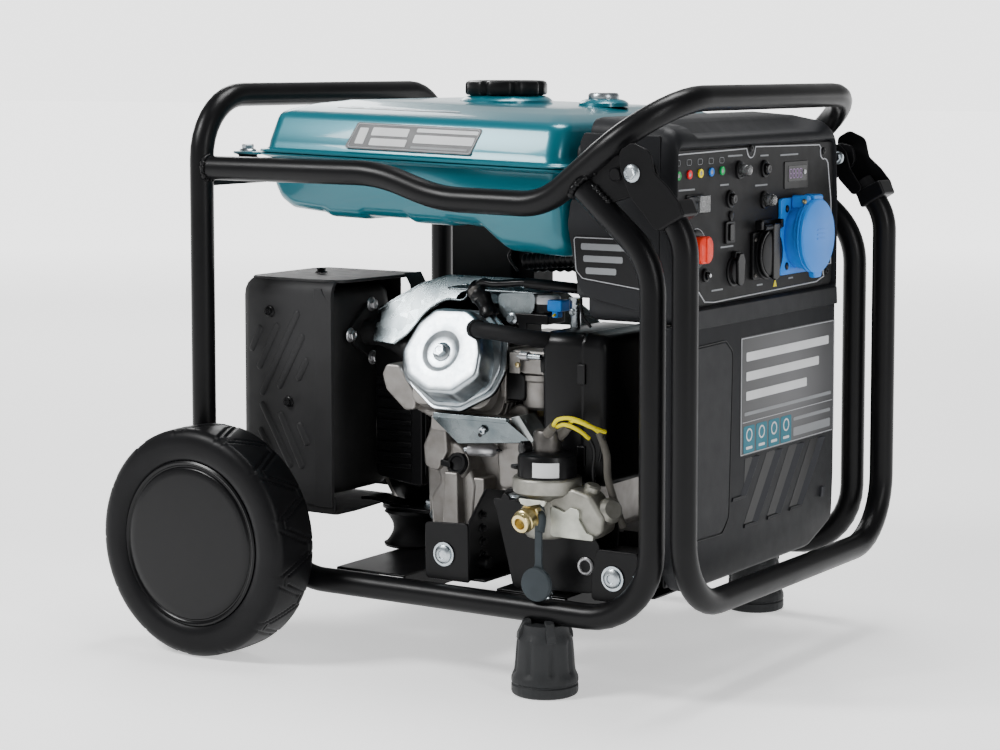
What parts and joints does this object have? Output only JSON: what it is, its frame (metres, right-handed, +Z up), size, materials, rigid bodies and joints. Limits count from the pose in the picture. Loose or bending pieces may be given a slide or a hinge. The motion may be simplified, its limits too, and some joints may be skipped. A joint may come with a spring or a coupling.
{
  "type": "portable generator",
  "caption": "Open-frame portable inverter generator with two wheels, folding pull handle, top fuel tank, tilted single-cylinder engine and a socket panel on one end.",
  "frame": {"origin": "middle of the footprint, on the ground under the wheels and feet", "axes": "+X from the wheels towards the control panel, +Y from the engine side to the far side, +Z up"},
  "size_m": [0.74, 0.674, 0.658],
  "materials": {
    "black_steel": "satin",
    "zinc": "satin",
    "rubber": "matte",
    "tyre": "satin",
    "black_plastic": "satin",
    "tank_paint": "gloss",
    "charcoal_plastic": "textured",
    "cast_aluminium": "cast",
    "galvanised": "satin",
    "heat_paint": "matte",
    "blue_plastic": "satin",
    "red_plastic": "satin",
    "copper_winding": "satin"
  },
  "bodies": {
    "frame": {"wheel_end_hoop": "black_steel", "grab_bar": "black_steel", "cross_channel_wheel": "black_steel", "cross_channel_panel": "black_steel", "tank_support_bar": "black_steel", "lower_tube_front": "black_steel", "lower_tube_back": "black_steel", "top_rail_front": "black_steel", "top_rail_back": "black_steel", "pivot_ear_front": "black_steel", "pivot_ear_back": "black_steel", "pivot_bolt_front": "zinc", "pivot_bolt_back": "zinc", "axle_front": "black_steel", "axle_back": "black_steel", "foot_front": "rubber", "foot_back": "rubber", "tank_upper": "tank_paint", "tank_lower": "tank_paint", "fuel_gauge": "zinc", "panel_fascia": "charcoal_plastic", "control_plate": "black_plastic", "lower_cover": "charcoal_plastic", "housing_side_front": "charcoal_plastic", "housing_side_back": "charcoal_plastic", "inverter_module": "cast_aluminium", "schuko_base": "black_plastic", "cee_base": "blue_plastic", "crankcase": "cast_aluminium", "cylinder_head": "cast_aluminium", "valve_cover": "galvanised", "cylinder_shroud": "galvanised", "lower_shroud": "galvanised", "air_box": "black_plastic", "alternator_cover": "black_steel", "muffler": "heat_paint", "muffler_shield": "heat_paint", "engine_mount_wheel": "rubber", "engine_mount_panel": "rubber", "regulator_plate": "black_steel", "gas_regulator": "cast_aluminium", "engine_bracket_left": "black_steel", "engine_bracket_right": "black_steel"},
    "wheel_front": {"tyre_front": "tyre", "hub_front": "black_plastic"},
    "wheel_back": {"tyre_back": "tyre", "hub_back": "black_plastic"},
    "handle": {"folding_handle": "black_steel"},
    "filler_cap": {"fuel_cap": "black_plastic"},
    "oil_cap": {"oil_filler_cap": "black_plastic"},
    "switch_knob": {"engine_switch_knob": "red_plastic"},
    "rocker": {"economy_rocker": "black_plastic"},
    "dc_breaker": {"dc_breaker_button": "black_plastic"},
    "ac_breaker": {"ac_breaker_button": "black_plastic"},
    "ac_reset": {"ac_reset_button": "black_plastic"},
    "lpg_reset": {"lpg_reset_button": "black_plastic"},
    "start": {"start_button": "black_plastic"},
    "schuko_cover": {"schuko_lid": "black_plastic"},
    "cee_cover": {"cee_lid": "blue_plastic"},
    "crankshaft": {"rotor": "copper_winding"}
  },
  "joints": [
    {"name": "wheel_front_spin", "type": "hinge", "parent": "frame", "child": "wheel_front", "pos_m": [-0.238, -0.3, 0.132], "axis": [0, 1, 0], "continuous": true},
    {"name": "wheel_back_spin", "type": "hinge", "parent": "frame", "child": "wheel_back", "pos_m": [-0.238, 0.3, 0.132], "axis": [0, 1, 0], "continuous": true},
    {"name": "handle_fold", "type": "hinge", "parent": "frame", "child": "handle", "pos_m": [0.302, 0, 0.565], "axis": [0, -1, 0], "range_deg": [0, 90]},
    {"name": "fuel_cap_turn", "type": "hinge", "parent": "frame", "child": "filler_cap", "pos_m": [-0.022, 0, 0.65], "axis": [0, 0, 1], "range_deg": [0, 90]},
    {"name": "oil_cap_turn", "type": "hinge", "parent": "frame", "child": "oil_cap", "pos_m": [0.052, -0.1, 0.158], "axis": [0, -1, 0], "range_deg": [0, 360]},
    {"name": "engine_switch_turn", "type": "hinge", "parent": "frame", "child": "switch_knob", "pos_m": [0.322, -0.148, 0.479], "axis": [1, 0, 0], "range_deg": [0, 90]},
    {"name": "economy_rock", "type": "hinge", "parent": "frame", "child": "rocker", "pos_m": [0.312, -0.151, 0.528], "axis": [0, 0, 1], "range_deg": [-16, 0]},
    {"name": "dc_breaker_push", "type": "slide", "parent": "frame", "child": "dc_breaker", "axis": [-1, 0, 0], "range_m": [0, 0.002], "stiffness_N_per_m": 400},
    {"name": "ac_breaker_push", "type": "slide", "parent": "frame", "child": "ac_breaker", "axis": [-1, 0, 0], "range_m": [0, 0.002], "stiffness_N_per_m": 400},
    {"name": "ac_reset_push", "type": "slide", "parent": "frame", "child": "ac_reset", "axis": [-1, 0, 0], "range_m": [0, 0.002], "stiffness_N_per_m": 400},
    {"name": "lpg_reset_push", "type": "slide", "parent": "frame", "child": "lpg_reset", "axis": [-1, 0, 0], "range_m": [0, 0.002], "stiffness_N_per_m": 400},
    {"name": "start_push", "type": "slide", "parent": "frame", "child": "start", "axis": [-1, 0, 0], "range_m": [0, 0.002], "stiffness_N_per_m": 400},
    {"name": "schuko_lid_open", "type": "hinge", "parent": "frame", "child": "schuko_cover", "pos_m": [0.3255, 0.01, 0.495], "axis": [0, -1, 0], "range_deg": [0, 110], "stiffness_Nm_per_rad": 0.02, "springref_deg": -28.65},
    {"name": "cee_lid_open", "type": "hinge", "parent": "frame", "child": "cee_cover", "pos_m": [0.34, 0.091, 0.524], "axis": [0, -1, 0], "range_deg": [0, 100], "stiffness_Nm_per_rad": 0.05, "springref_deg": -45.84},
    {"name": "crankshaft_spin", "type": "hinge", "parent": "frame", "child": "crankshaft", "pos_m": [-0.1, 0.036, 0.246], "axis": [1, 0, 0], "continuous": true}
  ]
}
